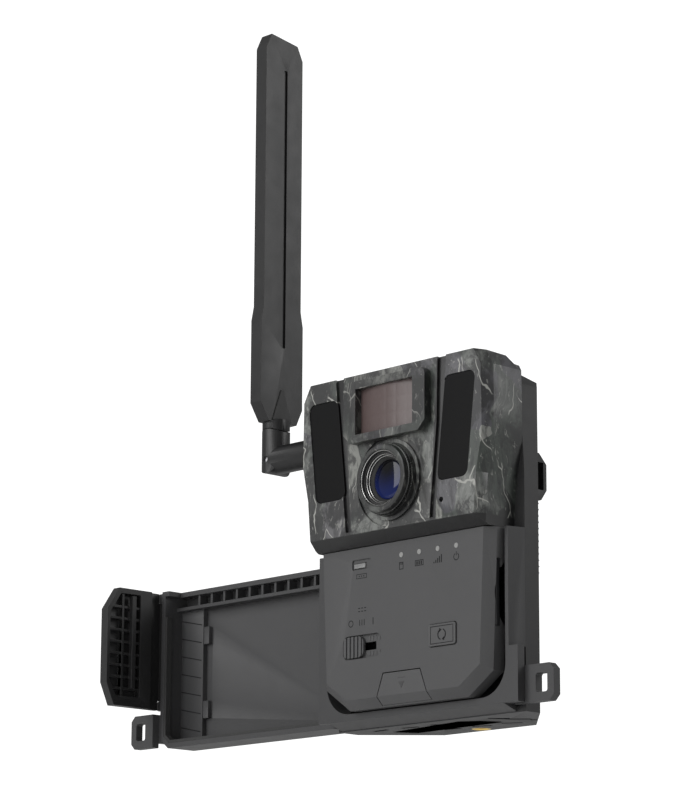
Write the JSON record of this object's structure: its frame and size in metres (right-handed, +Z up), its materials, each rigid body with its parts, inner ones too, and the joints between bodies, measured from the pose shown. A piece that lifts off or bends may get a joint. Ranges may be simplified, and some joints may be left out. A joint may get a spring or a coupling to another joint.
{
  "type": "trail camera",
  "caption": "Wildlife trail camera with a slide-out battery cartridge, swing-open hinged door with a side latch, padlock ears and a folding paddle antenna.",
  "frame": {"origin": "mouth of the tripod thread, in the plane of the flat base", "axes": "+Z up, -Y out of the lens, +X to the right of someone facing the front (the latch side)"},
  "size_m": [0.232, 0.0683, 0.2799],
  "materials": {
    "camo_plastic": "camouflage print, matt",
    "dark_plastic": "fine texture, matt",
    "grey_plastic": "fine texture, matt",
    "panel_plastic": "fine texture, matt",
    "door_plastic": "fine texture, matt",
    "latch_plastic": "fine texture, satin",
    "button_plastic": "satin",
    "button_light": "satin",
    "antenna_plastic": "satin",
    "bezel_plastic": "camouflage print, satin",
    "black_plastic": "matt",
    "case_plastic": "matt",
    "window_plastic": "infrared-pass window, smooth",
    "pir_plastic": "smoky sheet, satin",
    "guide_plastic": "milky light guide",
    "led_epoxy": "clear epoxy",
    "card_plastic": "matt",
    "cell_sleeve": "printed sleeve",
    "lens_glass": "coated, polished",
    "filter_glass": "coated, polished",
    "gasket_rubber": "soft, matt",
    "lead_rubber": "jacketed lead, matt",
    "screw_steel": "plated",
    "shield_steel": "tinned",
    "contact_steel": "nickel plated",
    "gold_brass": "gold plated",
    "insert_brass": "machined",
    "circuit_board": "solder mask"
  },
  "bodies": {
    "camera_body": {"front_shell": "camo_plastic", "rear_shell": "dark_plastic", "bay_frame": "grey_plastic", "shell_gasket": "gasket_rubber", "shell_screws": "screw_steel", "frame_screws": "screw_steel", "lens_bezel": "bezel_plastic", "lens_glass": "lens_glass", "lens_barrel": "black_plastic", "lens_holder": "black_plastic", "sensor_board": "circuit_board", "pir_frame": "camo_plastic", "pir_lens": "pir_plastic", "pir_sensor": "screw_steel", "ir_window_left": "window_plastic", "ir_window_right": "window_plastic", "led_board_left": "circuit_board", "led_board_right": "circuit_board", "ir_leds": "led_epoxy", "microphone": "black_plastic", "main_board": "circuit_board", "board_screws": "screw_steel", "cellular_module": "shield_steel", "antenna_socket": "gold_brass", "coax_pigtail": "lead_rubber", "bay_contacts": "gold_brass", "tripod_insert": "insert_brass", "tree_bracket": "dark_plastic", "bracket_screws": "screw_steel"},
    "filter": {"ir_cut_filter": "filter_glass"},
    "cartridge": {"panel_cover": "panel_plastic", "battery_case": "case_plastic", "aa_cells": "cell_sleeve", "contact_springs": "contact_steel", "contact_plates": "contact_steel", "control_board": "circuit_board", "light_guides": "guide_plastic", "case_screws": "screw_steel", "card_socket": "shield_steel"},
    "card": {"sd_card": "card_plastic"},
    "mode_slider": {"mode_switch": "button_plastic"},
    "sync": {"sync_button": "button_plastic"},
    "format": {"format_button": "button_light"},
    "release": {"release_tab": "button_plastic"},
    "door": {"door_shell": "door_plastic", "door_gasket": "gasket_rubber", "hinge_pins": "screw_steel", "latch_pin": "screw_steel"},
    "latch": {"door_latch": "latch_plastic"},
    "elbow": {"antenna_elbow": "antenna_plastic", "antenna_pin": "screw_steel"},
    "blade": {"antenna_blade": "antenna_plastic", "antenna_element": "circuit_board"}
  },
  "joints": [
    {"name": "door_hinge", "type": "hinge", "parent": "camera_body", "child": "door", "pos_m": [-0.05, -0.0319, 0.03], "axis": [0, 0, -1], "range_deg": [-180, 0]},
    {"name": "latch_pivot", "type": "hinge", "parent": "door", "child": "latch", "pos_m": [-0.1547, -0.0248, 0.04], "axis": [0, 0, 1], "range_deg": [-75, 20]},
    {"name": "cartridge_slide", "type": "slide", "parent": "camera_body", "child": "cartridge", "axis": [0, -1, 0], "range_m": [0, 0.036]},
    {"name": "card_slide", "type": "slide", "parent": "cartridge", "child": "card", "axis": [1, 0, 0], "range_m": [0, 0.026]},
    {"name": "mode_slide", "type": "slide", "parent": "cartridge", "child": "mode_slider", "axis": [1, 0, 0], "range_m": [0, 0.009]},
    {"name": "sync_press", "type": "slide", "parent": "cartridge", "child": "sync", "axis": [0, 1, 0], "range_m": [0, 0.0006], "stiffness_N_per_m": 900},
    {"name": "format_press", "type": "slide", "parent": "cartridge", "child": "format", "axis": [0, 1, 0], "range_m": [0, 0.0007], "stiffness_N_per_m": 900},
    {"name": "release_slide", "type": "slide", "parent": "cartridge", "child": "release", "axis": [0, 0, -1], "range_m": [0, 0.0012], "stiffness_N_per_m": 900},
    {"name": "filter_slide", "type": "slide", "parent": "camera_body", "child": "filter", "axis": [1, 0, 0], "range_m": [0, 0.007]},
    {"name": "antenna_swivel", "type": "hinge", "parent": "camera_body", "child": "elbow", "pos_m": [-0.06, -0.038, 0.1071], "axis": [1, 0, 0], "range_deg": [-90, 90]},
    {"name": "antenna_fold", "type": "hinge", "parent": "elbow", "child": "blade", "pos_m": [-0.0734, -0.038, 0.1071], "axis": [0, -1, 0], "range_deg": [0, 90]}
  ]
}
